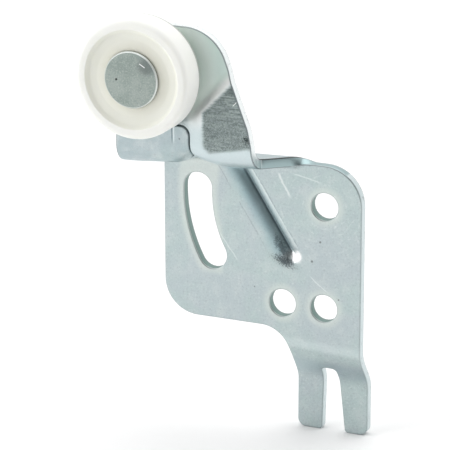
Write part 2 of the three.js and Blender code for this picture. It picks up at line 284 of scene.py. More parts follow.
# ---------------------------------------------------------------- the flat blank of the hanger
# The blank lies in u and s: u runs along the bends, s up the sheet. Below the first bend they
# are the finished plate's own directions, turned by the shelf's roll.
BEND_1 = PLATE_BEND_R + SHEET / 2
BEND_2 = ARM_BEND_R + SHEET / 2
BEND_2_Y = ARM_FRONT + SHEET + ARM_BEND_R
S_BEND_1 = SHELF_UNDER - PLATE_BEND_R
S_SHELF = S_BEND_1 + BEND_1 * math.pi / 2
S_BEND_2 = S_SHELF + (-PLATE_BEND_R - BEND_2_Y)
S_ARM = S_BEND_2 + BEND_2 * math.pi / 2
ARM_START_W = SHELF_UNDER + SHEET + ARM_BEND_R
ARM_SHIFT = S_ARM - ARM_START_W


def on_plate(x, z, radius=0.0):
    u = x * math.cos(SHELF_ROLL) + z * math.sin(SHELF_ROLL)
    w = z * math.cos(SHELF_ROLL) - x * math.sin(SHELF_ROLL)
    return u, w, radius


def on_arm(x, z, radius=0.0):
    u, w, radius = on_plate(x, z, radius)
    return (u, w + ARM_SHIFT, radius)


def blank_outline():
    """The sheet's outer edge, anticlockwise from the plate's left bottom corner."""
    corners = [
        on_plate(PLATE_LEFT, PLATE_BOTTOM, LOW_CORNER_R),
        on_plate(FORK_LEFT, PLATE_BOTTOM, NECK_FILLET_R),
        on_plate(FORK_LEFT, FORK_BOTTOM, PRONG_R),
        on_plate(MOUTH_LEFT, FORK_BOTTOM, 0.7),
        on_plate(GAP_LEFT, FORK_TOP, 0.9),
        on_plate(GAP_RIGHT, FORK_TOP, 0.9),
        on_plate(MOUTH_RIGHT, FORK_BOTTOM, 0.7),
        on_plate(FORK_RIGHT, FORK_BOTTOM, PRONG_R),
        on_plate(FORK_RIGHT, TAIL_END, 3.0),
        on_plate(PLATE_RIGHT, TAIL_START, 3.0),
        on_plate(PLATE_RIGHT, PLATE_TOP, TOP_CORNER_R),
        on_plate(13.4, PLATE_TOP, 3.0),
        (12.0, S_SHELF - 1.0, 1.6),
        (6.05, S_BEND_2 + 0.6, 0.3),
        on_arm(4.75, 26.0, 5.0),
        on_arm(4.1, 29.1, 6.0),
    ]
    shoulder = arc(SHOULDER, SHOULDER_R, 24, 90, 12)
    pad = arc((AXLE.x, AXLE.z), PAD_R, 90, 248, 36)
    corners += [on_arm(x, z) for x, z in shoulder + pad]
    slit_foot = S_BEND_2 + 1.3
    half_slit = (SLIT_RIGHT - SLIT_LEFT) / 2
    corners += [
        on_arm(-16.6, SKIRT_TOP + SLIT_RIGHT - SLIT_LEFT, 1.5),
        on_arm(SLIT_RIGHT, SKIRT_TOP + SLIT_RIGHT - SLIT_LEFT, SKIRT_R + SLIT_RIGHT - SLIT_LEFT),
        (SLIT_FOOT_X + half_slit, slit_foot, 0.09),
        (SLIT_FOOT_X - half_slit, slit_foot, 0.09),
        on_arm(SLIT_LEFT, SKIRT_TOP, SKIRT_R),
        on_arm(SKIRT_LEFT, SKIRT_TOP, SKIRT_R),
        (SKIRT_LEFT + 0.5, S_BEND_2 + 0.6, 4.0),
        (PLATE_LEFT + 0.6, S_BEND_1 + 0.6, 1.2),
    ]
    return rounded(corners)


def slot_outline():
    ends = [arc(PIVOT, SLOT_R, angle, angle, 1)[0] for angle in (SLOT_START, SLOT_END)]
    points = arc(PIVOT, SLOT_R + SLOT_HALF_WIDTH, SLOT_START, SLOT_END, 28)
    points += arc(ends[1], SLOT_HALF_WIDTH, SLOT_END, SLOT_END + 180, 20)[1:-1]
    points += arc(PIVOT, SLOT_R - SLOT_HALF_WIDTH, SLOT_END, SLOT_START, 28)
    points += arc(ends[0], SLOT_HALF_WIDTH, SLOT_START - 180, SLOT_START, 20)[1:-1]
    return [on_plate(x, z)[:2] for x, z in points]


def hole_outline(centre, radius, place):
    return [place(x, z)[:2] for x, z in arc(centre, radius, 0, 360, 48)[:-1]]


def blank_sheet():
    piece = new_piece("hanger_sheet", blank_outline(), RIM)
    add_ring(slot_outline(), RIM)
    for centre in [PIVOT, *LOW_HOLES]:
        add_ring(hole_outline(centre, HOLE_R, on_plate), RIM)
    add_ring(hole_outline((AXLE.x, AXLE.z), ARM_HOLE_R, on_arm), RIM)
    bpy.ops.mesh.select_mode(type="EDGE")
    bpy.ops.mesh.select_all(action="SELECT")
    bpy.ops.mesh.fill()
    bpy.ops.mesh.select_all(action="SELECT")
    bpy.ops.mesh.extrude_region_move(TRANSFORM_OT_translate={"value": (0, SHEET - 2 * RIM, 0)})
    bpy.ops.mesh.select_all(action="SELECT")
    bpy.ops.mesh.normals_make_consistent(inside=False)
    for side in (-1, 1):
        select_faces(piece, lambda centre, normal: normal.y * side > 0.99)
        round_rim()
    return piece


# ---------------------------------------------------------------- cuts for the bends and pressings
GROOVE_RUN = Vector(GROOVE_TO) - Vector(GROOVE_FROM)
GROOVE_ALONG = GROOVE_RUN.normalized()
GROOVE_ACROSS = Vector((-GROOVE_ALONG.y, GROOVE_ALONG.x))
GROOVE_LEFTWARDS = -GROOVE_ACROSS if GROOVE_ACROSS.x > 0 else GROOVE_ACROSS
PAD_ALONG = (Vector(PAD_EDGE[1]) - Vector(PAD_EDGE[0])).normalized()
PAD_ACROSS = Vector((PAD_ALONG.y, -PAD_ALONG.x))


def turned(direction):
    """A direction on the plate, in the blank's u and s."""
    u, s, _ = on_plate(direction[0], direction[1])
    return (u, s)


def cut_blank(piece):
    cut_lines(piece, (0, 1), spread(S_BEND_1, S_SHELF, 10) + spread(S_BEND_2, S_ARM, 19))
    cut_lines(piece, turned((0, 1)), spread(TAIL_START, TAIL_END, 17))

    def curl(centre, normal):
        return centre.x > CURL_START - 1 and S_BEND_1 < centre.z < S_SHELF + 3

    cut_lines(piece, (1, 0), spread(CURL_START, CURL_END, 13), curl)

    start = Vector(GROOVE_FROM)
    reach = GROOVE_LEFT + 0.5
    offset = start.dot(GROOVE_ACROSS)
    first, last = start.dot(GROOVE_ALONG), Vector(GROOVE_TO).dot(GROOVE_ALONG)

    def near_groove(centre, normal):
        place = Vector(off_plate(centre.x, centre.z))
        along, across = place.dot(GROOVE_ALONG), place.dot(GROOVE_ACROSS)
        inside = abs(across - offset) < reach and first - reach < along < last + reach
        return inside and centre.z < S_SHELF

    cut_lines(piece, turned(GROOVE_ACROSS), [offset - reach, offset + reach])
    cut_lines(piece, turned(GROOVE_ALONG), [first - reach, last + reach])
    sides = [offset + side * step for side in (-1, 1) for step in GROOVE_CUTS]
    cut_lines(piece, turned(GROOVE_ACROSS), sides, near_groove)
    lengths = spread(first - reach, first + 0.5, 14)[1:] + spread(first + 1.5, last - 1.5, 9)
    lengths += spread(last - 0.5, last + reach, 18)[:-1]
    cut_lines(piece, turned(GROOVE_ALONG), lengths, near_groove)

    def upright(centre, normal):
        return centre.z > S_BEND_2 + 0.3

    def shelf_and_arm(centre, normal):
        return centre.z > S_BEND_1

    cut_lines(piece, (0, 1), spread(S_SHELF, S_BEND_2, 5)[1:-1])
    cut_lines(piece, (1, 0), spread(-12.0, -1.0, 30), shelf_and_arm)
    edge = Vector(PAD_EDGE[0]).dot(PAD_ACROSS) + turned_shift(PAD_ACROSS)
    cut_lines(piece, turned(PAD_ACROSS), spread(edge - 0.6, edge + PAD_STEP + 0.2, 13), upright)
    cut_lines(piece, (0, 1), spread(S_ARM, S_ARM + 9.0, 19), upright)


def turned_shift(direction):
    """How far the arm's shift in the blank moves a line that is square to a direction on the arm."""
    return turned(direction)[1] * ARM_SHIFT


def off_plate(u, w):
    """Back from the blank's directions to the finished x and z."""
    x = u * math.cos(SHELF_ROLL) - w * math.sin(SHELF_ROLL)
    z = u * math.sin(SHELF_ROLL) + w * math.cos(SHELF_ROLL)
    return x, z


# ---------------------------------------------------------------- bending the blank
def section(s, depth):
    """The section of plate, shelf and arm: y and w of a point at s up the sheet and depth into it."""
    if s <= S_BEND_1:
        return depth, s
    if s <= S_SHELF:
        turn = (s - S_BEND_1) / BEND_1
        radius = PLATE_BEND_R + depth
        return radius * math.cos(turn) - PLATE_BEND_R, S_BEND_1 + radius * math.sin(turn)
    if s <= S_BEND_2:
        return -PLATE_BEND_R - (s - S_SHELF), SHELF_UNDER + depth
    if s <= S_ARM:
        turn = (s - S_BEND_2) / BEND_2
        radius = ARM_BEND_R + SHEET - depth
        return BEND_2_Y - radius * math.sin(turn), ARM_START_W - radius * math.cos(turn)
    return ARM_FRONT + depth, s - ARM_SHIFT


def bent(u, s, depth):
    """The section, let out to flat sheet beyond the shelf's right end."""
    y, w = section(s, depth)
    flat = eased((u - CURL_START) / (CURL_END - CURL_START))
    return y + (depth - y) * flat, w + (s - w) * flat


def groove_depth(x, z):
    """Deep at the valley line: a hollow flank on the left, short ones on the right and at the ends."""
    place = Vector((x, z)) - Vector(GROOVE_FROM)
    along = min(max(place.dot(GROOVE_ALONG), 0.0), GROOVE_RUN.length)
    apart = place - GROOVE_ALONG * along
    side = apart.dot(GROOVE_LEFTWARDS) / max(apart.length, 1e-6)
    left, right = eased(side), eased(-side)
    width = GROOVE_END + (GROOVE_LEFT - GROOVE_END) * left + (GROOVE_RIGHT - GROOVE_END) * right
    rise = 1 - math.hypot(apart.length, VALLEY_ROUNDING) / width
    return GROOVE_DEPTH * max(rise, 0.0) ** (1.2 + 1.7 * left)


def on_skirt(x, z):
    """Whether a place on the upright sheet, in the arm's own x and z, is left of and below the slit."""
    corner = (SLIT_LEFT - SKIRT_R, SKIRT_TOP - SKIRT_R)
    if x > corner[0] and z > corner[1]:
        return math.dist((x, z), corner) < SKIRT_R + (SLIT_RIGHT - SLIT_LEFT) / 2
    return x < (SLIT_LEFT + SLIT_RIGHT) / 2 and z < SKIRT_TOP + (SLIT_RIGHT - SLIT_LEFT) / 2


def pad_setback(x, z):
    """The step down to the pad, and on down the arm beside the slit."""
    from_line = (Vector((x, z)) - Vector(PAD_EDGE[0])).dot(PAD_ACROSS)
    from_slit = SCUFF_LEFT - x
    meeting = math.exp(-abs(from_line - from_slit) / STEP_CORNER)
    joined = max(from_line, from_slit) + STEP_CORNER * math.log1p(meeting)
    depth = PAD_SETBACK * (SLIT_SETBACK + (1 - SLIT_SETBACK) * eased((z - 28.5) / 5.0))
    return depth * eased((joined + STEP_START) / PAD_STEP)


def cusp(x, s):
    """How far the shelf and its bend are drawn up beside the slit."""
    reach = CUSP_LEFT if x < SLIT_LEFT else CUSP_RIGHT
    beside = max(0.0, 1 - abs(x - SLIT_LEFT) / reach)
    rise = min(max((s - S_BEND_1) / (S_BEND_2 + 1.0 - S_BEND_1), 0.0), 1.0)
    return CUSP_HEIGHT * beside ** 1.6 * rise * (1 - eased((s - S_BEND_2 - 2.0) / 5.0))


def bend_blank(piece):
    mesh = bmesh.from_edit_mesh(piece.data)
    for vertex in mesh.verts:
        u, depth, s = vertex.co
        y, w = bent(u, s, depth)
        x, z = off_plate(u, w)
        skirt = on_skirt(*off_plate(u, s - ARM_SHIFT))
        if s < S_BEND_1 + 1.0:
            y += TAIL_OFFSET * eased((TAIL_START - z) / (TAIL_START - TAIL_END))
            y += groove_depth(x, z) * (1 - eased((s - S_BEND_1 + 0.4) / 1.4))
        if s > S_BEND_2 and not skirt:
            y += pad_setback(x, z) * eased((s - S_BEND_2 - 1.2) / 3.5)
        if s < S_BEND_2 or skirt:
            droop = SKIRT_DROOP * eased((DROOP_FROM - x) / DROOP_LENGTH)
            z -= droop * eased((s - S_BEND_1) / 5.0) * (1 - eased((s - S_ARM) / 3.5))
        z += cusp(x, s)
        vertex.co = (x, y, z)
    bmesh.update_edit_mesh(piece.data)


def tone_faces(piece):
    """Stores what each face is, for the finish.

    edge_tone is red on an outer sheared edge, green on the wall of a hole or a slit, blue on a rim.
    side_tone is red on the front of the arm, green on the front of the skirt, both with the shelf's
    underside below them, and blue on the front of the plate.
    """
    mesh = bmesh.from_edit_mesh(piece.data)
    edge_tone = mesh.faces.layers.float_color.new("edge_tone")
    side_tone = mesh.faces.layers.float_color.new("side_tone")
    for face in mesh.faces:
        slope = abs(face.normal.y)
        u, depth, s = face.calc_center_median()
        x, z = off_plate(u, s)
        inner = min(math.dist((x, z), centre) for centre in [PIVOT, *LOW_HOLES]) < HOLE_R + 0.5
        beside_slot = abs(math.dist((x, z), PIVOT) - SLOT_R) < SLOT_HALF_WIDTH + 0.5
        inner |= beside_slot and x < -4 and -2 < z < 19
        arm_x, arm_z = off_plate(u, s - ARM_SHIFT)
        slit = abs(arm_x - SLIT_LEFT) < 0.9 and S_BEND_2 < s and arm_z < SKIRT_TOP
        slit |= arm_x < SLIT_LEFT + 0.9 and abs(arm_z - SKIRT_TOP) < 0.5
        wall = slope < 0.1
        rim = (0.1 < slope < 0.98) * (0.3 if slit else 1.0)
        face[edge_tone] = (wall and not inner and not slit, wall and (inner or slit), rim, 1.0)
        front = depth < SHEET / 2
        upright = front and s > S_SHELF
        skirt = upright and on_skirt(arm_x, arm_z)
        face[side_tone] = (upright and not skirt, skirt, front and not upright, 1.0)
    bmesh.update_edit_mesh(piece.data)


def hanger_sheet():
    piece = blank_sheet()
    cut_blank(piece)
    tone_faces(piece)
    bend_blank(piece)
    bpy.ops.mesh.select_all(action="SELECT")
    bpy.ops.mesh.quads_convert_to_tris(quad_method="BEAUTY", ngon_method="BEAUTY")
    finish_piece(piece, "hanger", "hanger_plate", 38)
    return piece


# ---------------------------------------------------------------- turned pieces
def turned_piece(name, corners, body, node, closed=True, steps=160, smooth_deg=35):
    """Spins a profile of (radius, y, rounding) corners about the axle."""
    points = rounded(corners, 11.25)
    piece = new_piece(name, points)
    mesh = bmesh.from_edit_mesh(piece.data)
    for vertex, (radius, y) in zip(mesh.verts, points):
        vertex.co = (AXLE.x + radius, y, AXLE.z)
    if not closed:
        mesh.verts.ensure_lookup_table()
        on_axis = [mesh.verts[0], mesh.verts[len(points) - 1]]
        mesh.edges.remove(mesh.edges.get(on_axis))
    bmesh.update_edit_mesh(piece.data)
    bpy.ops.mesh.select_all(action="SELECT")
    bpy.ops.mesh.spin(steps=steps, angle=2 * math.pi, center=(AXLE.x, 0, AXLE.z), axis=(0, 1, 0))
    finish_piece(piece, body, node, smooth_deg)
    return piece


def nylon_wheel():
    front, back = wheel_low.y, wheel_high.y
    radius = (wheel_high.x - wheel_low.x) / 2
    return turned_piece("nylon_wheel", [
        (3.1, back, 0.2),
        (5.6, back, 0.15),
        (5.9, back - 0.5, 0.2),
        (8.6, back - 0.5, 0.2),
        (8.9, back, 0.15),
        (radius, back, 1.2),
        (radius, front, 1.0),
        (DISH_R, front, 0.12),
        (8.6, front + DISH_DEPTH * 0.8, 0.7),
        (7.1, front + DISH_DEPTH, 1.5),
        (5.5, front + HUB_DEPTH, 0.5),
        (3.1, front + HUB_DEPTH + 0.1, 0.1),
    ], "wheel", "roller_wheel")


def rivet():
    head_front, tail_back = rivet_low.y, rivet_high.y
    head_r = (rivet_high.x - rivet_low.x) / 2
    head_back = wheel_low.y + HUB_DEPTH
    pad_back = ARM_FRONT + PAD_SETBACK + SHEET
    journal_end = washer_low.y - 0.05
    return turned_piece("rivet", [
        (0, head_front, 0),
        (head_r - 0.18, head_front, 0.05),
        (head_r, head_front + 0.22, 0.06),
        (head_r, head_back, 0.12),
        (3.0, head_back, 0),
        (3.0, journal_end, 0),
        (2.2, journal_end, 0),
        (2.2, pad_back + 0.05, 0),
        (3.7, pad_back + 0.05, 0.1),
        (3.6, pad_back + 0.6, 0.5),
        (2.2, tail_back, 1.6),
        (0, tail_back, 0),
    ], "hanger", "axle_rivet", closed=False)


def washer():
    radius = (washer_high.x - washer_low.x) / 2
    return turned_piece("washer", [
        (ARM_HOLE_R, washer_low.y, 0.1),
        (radius, washer_low.y, 0.2),
        (radius, washer_high.y, 0.2),
        (ARM_HOLE_R, washer_high.y, 0.1),
    ], "hanger", "spacer_washer", steps=96)


# ---------------------------------------------------------------- shader sums
class Wire:
    """A shader socket that can be used in sums: each sum adds its Math node."""

    def __init__(self, nodes, socket):
        self.nodes = nodes
        self.socket = socket

    def _sum(self, operation, *terms):
        return self.nodes.add("ShaderNodeMath", {"operation": operation}, terms)

    def __add__(self, other):
        return self._sum("ADD", self, other)

    def __radd__(self, other):
        return self._sum("ADD", other, self)

    def __sub__(self, other):
        return self._sum("SUBTRACT", self, other)

    def __rsub__(self, other):
        return self._sum("SUBTRACT", other, self)

    def __mul__(self, other):
        return self._sum("MULTIPLY", self, other)

    def __rmul__(self, other):
        return self._sum("MULTIPLY", other, self)

    def __truediv__(self, other):
        return self._sum("DIVIDE", self, other)

    def __pow__(self, other):
        return self._sum("POWER", self, other)

    def __abs__(self):
        return self._sum("ABSOLUTE", self)


class Nodes:
    """A node tree, and the one way that nodes are added to it."""

    def __init__(self, tree):
        self.tree = tree
        tree.nodes.clear()

    def add(self, kind, settings, values=(), output=0):
        """Adds a node: its settings first, then the values or links of its sockets."""
        node = self.tree.nodes.new(kind)
        for setting, value in settings.items():
            setattr(node, setting, value)
        pairs = values.items() if isinstance(values, dict) else enumerate(values)
        for key, value in pairs:
            if isinstance(value, Wire):
                self.tree.links.new(value.socket, node.inputs[key])
            else:
                node.inputs[key].default_value = value
        return node if output is None else Wire(self, node.outputs[output])

    def split(self, kind, value):
        """The three parts of a vector or a colour."""
        return [Wire(self, part) for part in self.add(kind, {}, (value,), None).outputs[:3]]

    def ramp(self, value, low, high, start=0.0, end=1.0):
        """Smooth change from start to end as value goes from low to high."""
        return self.add("ShaderNodeMapRange", {"interpolation_type": "SMOOTHSTEP"}, {
            "Value": value, "From Min": low, "From Max": high, "To Min": start, "To Max": end})

    def most(self, first, second):
        return self.add("ShaderNodeMath", {"operation": "MAXIMUM"}, (first, second))

    def mix(self, amount, first, second, blend="MIX"):
        settings = {"data_type": "RGBA", "blend_type": blend, "clamp_factor": True}
        return self.add("ShaderNodeMix", settings, {0: amount, 6: first, 7: second}, 2)


class Finish(Nodes):
    """One material, worked out from places on the piece in millimetres."""

    def __init__(self, name):
        self.material = bpy.data.materials.new(name)
        self.material.use_nodes = True
        super().__init__(self.material.node_tree)
        place = self.add("ShaderNodeTexCoord", {}, (), "Object")
        self.place = self.add("ShaderNodeVectorMath", {"operation": "SCALE"}, {0: place, "Scale": METRE})
        self.x, self.y, self.z = self.split("ShaderNodeSeparateXYZ", self.place)

    def noise(self, scale, detail=3.0, rough=0.5, stretch=None, twist=0.0):
        """Cloudy noise from 0 to 1; scale is in cycles per millimetre."""
        place = self.place
        if stretch:
            place = self.add("ShaderNodeMapping", {}, {"Vector": place, "Scale": stretch})
        return self.add("ShaderNodeTexNoise", {}, {
            "Vector": place, "Scale": scale, "Detail": detail, "Roughness": rough, "Distortion": twist})

    def beyond(self, start, across):
        """Distance past a line on the sheet, measured along the direction across."""
        return (self.x - start[0]) * across[0] + (self.z - start[1]) * across[1]

    def distance(self, centre):
        """Distance from the line through centre that runs straight back."""
        across, up = self.x - centre[0], self.z - centre[1]
        return (across * across + up * up) ** 0.5

    def scratch(self, middle, direction, half_length, half_width, wander):
        """A tapered line through middle along a direction; wander lets it stray and break up."""
        along = abs(self.beyond(middle, direction))
        apart = abs(self.beyond(middle, (-direction[1], direction[0])) + (wander - 0.5) * half_width * 4)
        side = self.ramp(apart, half_width, half_width * 0.2)
        return side * self.ramp(along, half_length, half_length * 0.6)

    def bump(self, height, depth):
        """A bump whose full height is depth millimetres."""
        return self.add("ShaderNodeBump", {}, {"Height": height, "Distance": depth / METRE, "Strength": 1.0})

    def shade(self, values):
        shader = self.add("ShaderNodeBsdfPrincipled", {}, values)
        self.add("ShaderNodeOutputMaterial", {}, {"Surface": shader}, None)
        return self.material


def rgb(red, green, blue):
    return (red, green, blue, 1.0)


# ---------------------------------------------------------------- finishes
def zinc_plating():
    """Bright zinc over cold rolled steel: cloudy, faintly blue and green, with worn and sheared edges."""
    f = Finish("zinc_plating")
    cloud = f.noise(0.10, 4, 0.55, twist=0.6)
    patch = f.noise(0.35, 5, 0.6, twist=0.4)
    speck = f.noise(2.4, 4, 0.65)
    fine = f.noise(7.0, 2, 0.6)
    roll = f.noise(1.1, 4, 0.65, stretch=(1, 1, 0.05))
    edge = f.add("ShaderNodeAttribute", {"attribute_name": "edge_tone"}, (), "Color")
    sheared, torn, rim = f.split("ShaderNodeSeparateColor", edge)
    side = f.add("ShaderNodeAttribute", {"attribute_name": "side_tone"}, (), "Color")
    arm, skirt, plate = f.split("ShaderNodeSeparateColor", side)

    colour = f.mix(f.ramp(cloud, 0.36, 0.62), rgb(0.480, 0.580, 0.575), rgb(0.500, 0.572, 0.590))
    colour = f.mix(f.ramp(patch, 0.44, 0.70) * 0.40, colour, rgb(0.63, 0.685, 0.68))
    colour = f.mix(f.ramp(patch, 0.44, 0.30) * 0.20, colour, rgb(0.40, 0.46, 0.50))
    colour = f.mix(f.ramp(speck, 0.52, 0.70) * 0.50, colour, rgb(0.34, 0.39, 0.41))
    colour = f.mix(f.ramp(speck, 0.46, 0.28) * 0.50, colour, rgb(0.72, 0.77, 0.76))
    colour = f.mix(f.ramp(fine, 0.50, 0.72) * 0.45, colour, rgb(0.38, 0.42, 0.43))

    # paler rings where the punch and the bath have left the metal lighter
    halo = 0.0
    for centre in [PIVOT, *LOW_HOLES]:
        halo = halo + f.ramp(f.distance(centre) + patch * 1.6, HOLE_R + 1.0, HOLE_R + 2.6, 1, 0)
    beside_slot = abs(f.distance(PIVOT) - SLOT_R) + patch * 1.2
    slot_side = f.ramp(beside_slot, SLOT_HALF_WIDTH + 1.0, SLOT_HALF_WIDTH + 2.4, 1, 0)
    halo = halo + slot_side * f.ramp(f.x, -5.0, -3.5, 1, 0) * f.ramp(f.z, -2.4, -0.6)
    colour = f.mix(halo * plate * 0.5, colour, rgb(0.70, 0.75, 0.70))

    # arcs rubbed round the pivot hole, pale scratches and small pits on the plate
    arcs = f.noise(0.9, 3, 0.7)
    ring = f.add("ShaderNodeMath", {"operation": "SINE"}, (f.distance(PIVOT) * 4.2 + patch * 5.0,))
    rubbed = f.ramp(ring, 0.55, 1.0) * f.ramp(arcs, 0.50, 0.62) * f.ramp(f.distance(PIVOT), 15.0, 8.0)
    colour = f.mix(rubbed * plate * 0.35, colour, rgb(0.74, 0.79, 0.78))
    marks = 0.0
    for middle, direction, half_length, half_width, strength in PLATE_SCRATCHES:
        marks = f.most(marks, f.scratch(middle, direction, half_length, half_width, patch) * strength)
    colour = f.mix(marks * plate, colour, rgb(0.78, 0.83, 0.82))
    pits = 0.0
    for place, size in PLATE_PITS:
        pits = f.most(pits, f.ramp(f.distance(place) + speck * 0.2, size + 0.15, size, 0, 1))
    pits = pits * plate
    colour = f.mix(pits * 0.75, colour, rgb(0.16, 0.18, 0.18))

    # the tail: painted shade on a band where it is bent back, and a painted highlight just above it
    height = f.z + f.x * SLOPE_OF_MARKS
    painted_tail_shade = f.ramp(height + (patch - 0.5) * 1.5, -19.6, -18.0) * f.ramp(height, -14.4, -16.4)
    colour = f.mix(painted_tail_shade * plate * 0.45, colour, rgb(0.38, 0.46, 0.50))
    painted_tail_highlight = f.ramp(height, -13.6, -12.4) * f.ramp(height, -10.8, -12.0)
    colour = f.mix(painted_tail_highlight * plate * 0.3, colour, rgb(0.72, 0.80, 0.80))

    # the arm: a smooth pad, beside it a scuffed face left by the press, and a painted highlight on the step
    # around that face
    off_face = f.most(f.beyond(PAD_EDGE[0], PAD_ACROSS), SCUFF_LEFT - f.x)
    scuff_line = f.noise(2.6, 4, 0.75, stretch=(0.12, 1, 1))
    past_side = f.most(off_face + 2.9 + (scuff_line - 0.5) * 0.9, 0.0)
    past_foot = f.most(f.x * 0.2 + 26.6 + (patch - 0.5) * 1.2 - f.z, 0.0)
    outside = (past_side * past_side + past_foot * past_foot) ** 0.5
    scuffed = arm * f.ramp(outside, 1.5, 2.2, 1, 0) * f.ramp(f.y, -6.9, -7.1)
    painted_step_highlight = arm * f.ramp(outside, 1.8, 2.5) * f.ramp(outside, 6.0, 4.2)
    # painted highlight: the step is painted white towards the wheel and pale lower down
    step_highlight_colour = f.mix(f.ramp(f.z, 27.0, 31.0), rgb(0.66, 0.75, 0.77), rgb(1.0, 1.0, 1.0))
    colour = f.mix(painted_step_highlight * 0.7, colour, step_highlight_colour)
    from_axle = f.distance((AXLE.x, AXLE.z))
    pad = arm * f.ramp(off_face, 0.0, 1.5) * f.ramp(f.z, 28.0, 34.0)
    # the pad's own green, painted paler close to the wheel as painted light against the wheel's shade
    pad_green_and_painted_light = f.mix(f.ramp(from_axle, 14.5, 11.0), rgb(0.62, 0.76, 0.71), rgb(0.86, 0.96, 0.91))
    colour = f.mix(pad * 0.85, colour, pad_green_and_painted_light)
    streaky = f.ramp(f.z, 28.5, 33.5)
    tone = scuff_line * streaky + (fine * 0.6 + scuff_line * 0.4) * (1 - streaky) + (speck - 0.5) * 0.5
    scuff_grey = f.mix(f.ramp(tone, 0.34, 0.66), rgb(0.15, 0.185, 0.185), rgb(0.39, 0.45, 0.44))
    colour = f.mix(scuffed * 0.95, colour, scuff_grey)
    dent = f.ramp(f.distance(ARM_DENT) + (speck - 0.5) * 2.6 + (fine - 0.5) * 1.5, 0.2, 1.0, 1, 0) * arm
    colour = f.mix(dent * 0.8, colour, rgb(0.02, 0.03, 0.03))
    nick_line = f.scratch(ARM_NICK, (0.64, 0.77), 0.62, 0.10, patch) * arm
    colour = f.mix(nick_line, colour, rgb(0.92, 0.95, 0.95))

    # the skirt: mottled, with a pressed crease drawn as a painted shade line with a painted highlight beside
    # it, and a few pits
    mottle = skirt * f.ramp(patch + (speck - 0.5) * 0.5, 0.40, 0.62, 0.45, 0.05)
    colour = f.mix(mottle, colour, rgb(0.36, 0.455, 0.48))
    # the crease: its bump, a painted shade line and a painted highlight line
    crease_run = f.ramp(f.z, 24.6, 26.2) * skirt
    stray = (cloud - 0.5) * 0.4
    shaded_crease = f.ramp(abs(f.x - CREASE_X + stray), 0.16, 0.05) * crease_run
    crease_highlight = f.ramp(abs(f.x - CREASE_LIT_X + stray), 0.22, 0.05) * crease_run
    colour = f.mix(crease_highlight * 0.6, colour, rgb(0.85, 0.92, 0.93))
    colour = f.mix(shaded_crease * 0.75, colour, rgb(0.13, 0.18, 0.21))
    skirt_pit = f.ramp(f.distance(SKIRT_PIT), 0.22, 0.12) * skirt
    colour = f.mix(skirt_pit * 0.7, colour, rgb(0.14, 0.17, 0.18))

    # the groove: painted shade on its blue left flank and along the valley line, painted highlights on its
    # right lip and at its lower end, and painted shade at its lower end and up its left flank
    leftwards = f.beyond(GROOVE_FROM, GROOVE_LEFTWARDS)
    along = f.beyond(GROOVE_FROM, GROOVE_ALONG)
    in_groove = plate * f.ramp(along, GROOVE_RUN.length - 1.2, GROOVE_RUN.length + 0.6, 1, 0)
    ragged = (speck - 0.5) * 1.3 + (patch - 0.5) * 1.0
    shaded_flank = in_groove * f.ramp(leftwards + ragged, GROOVE_LEFT + 0.4, 1.2) * f.ramp(leftwards, -0.15, 0.05)
    colour = f.mix(shaded_flank * 0.6, colour, rgb(0.30, 0.47, 0.52))
    valley_shade = in_groove * f.ramp(abs(leftwards - 0.12), 0.42, 0.02)
    colour = f.mix(valley_shade * 0.75, colour, rgb(0.07, 0.10, 0.12))
    lip_highlight = in_groove * f.ramp(leftwards, -0.25, -0.6) * f.ramp(leftwards, -1.9, -1.5)
    colour = f.mix(lip_highlight * 0.5, colour, rgb(0.93, 0.98, 0.97))
    highlight_spot = plate * f.ramp(f.distance(GROOVE_END_HIGHLIGHT) + (speck - 0.5) * 0.4, 1.5, 0.8)
    colour = f.mix(highlight_spot * 0.9, colour, rgb(1.0, 1.0, 1.0))
    for line, depth in [(GROOVE_LEFT + 0.3, 0.35), (-GROOVE_RIGHT, 0.55)]:
        lip = in_groove * f.ramp(abs(leftwards - line + (patch - 0.5) * 0.5), 0.16, 0.04)
        lip = lip * f.ramp(cloud + (speck - 0.5) * 0.6, 0.36, 0.56)
        colour = f.mix(lip * depth, colour, rgb(0.22, 0.27, 0.30))
    shade_long = f.beyond(GROOVE_END_SHADE, (0.94, -0.34)) / 2.5
    shade_wide = f.beyond(GROOVE_END_SHADE, (0.34, 0.94)) / 1.05
    shade_reach = (shade_long * shade_long + shade_wide * shade_wide) ** 0.5
    flank_long = f.beyond(GROOVE_FLANK_SHADE, GROOVE_ALONG) / 3.4
    flank_wide = f.beyond(GROOVE_FLANK_SHADE, GROOVE_LEFTWARDS) / 0.95
    flank_reach = (flank_long * flank_long + flank_wide * flank_wide) ** 0.5
    shade_breakup = (speck - 0.5) * 2.4 + (fine - 0.5) * 2.6
    low_groove_shade = f.ramp(shade_reach + shade_breakup, 0.35, 1.15, 1, 0)
    low_groove_shade = f.most(low_groove_shade, f.ramp(flank_reach + shade_breakup, 0.2, 1.1, 0.75, 0))
    colour = f.mix(low_groove_shade * plate * 0.85, colour, rgb(0.05, 0.065, 0.075))

    shelf_end = f.ramp(f.y, -5.6, -4.4) * f.ramp(f.z, 20.2, 20.6) * f.ramp(f.x, 5.0, 5.6)
    nick = f.ramp(f.noise(2.2, 3, 0.6, stretch=(1, 1, 0.3)), 0.60, 0.70)
    shear = f.mix(f.ramp(f.z, 19.0, 24.0), rgb(0.62, 0.70, 0.71), rgb(0.90, 0.94, 0.94))
    shear = f.mix(nick * 0.7, shear, rgb(0.30, 0.33, 0.34))
    shear = f.mix(shelf_end, shear, rgb(0.36, 0.47, 0.48))
    colour = f.mix(sheared, colour, shear)
    slit_wall = f.ramp(f.z, 20.0, 20.6)
    colour = f.mix(torn, colour, f.mix(slit_wall, rgb(0.24, 0.33, 0.31), rgb(0.50, 0.58, 0.60)))
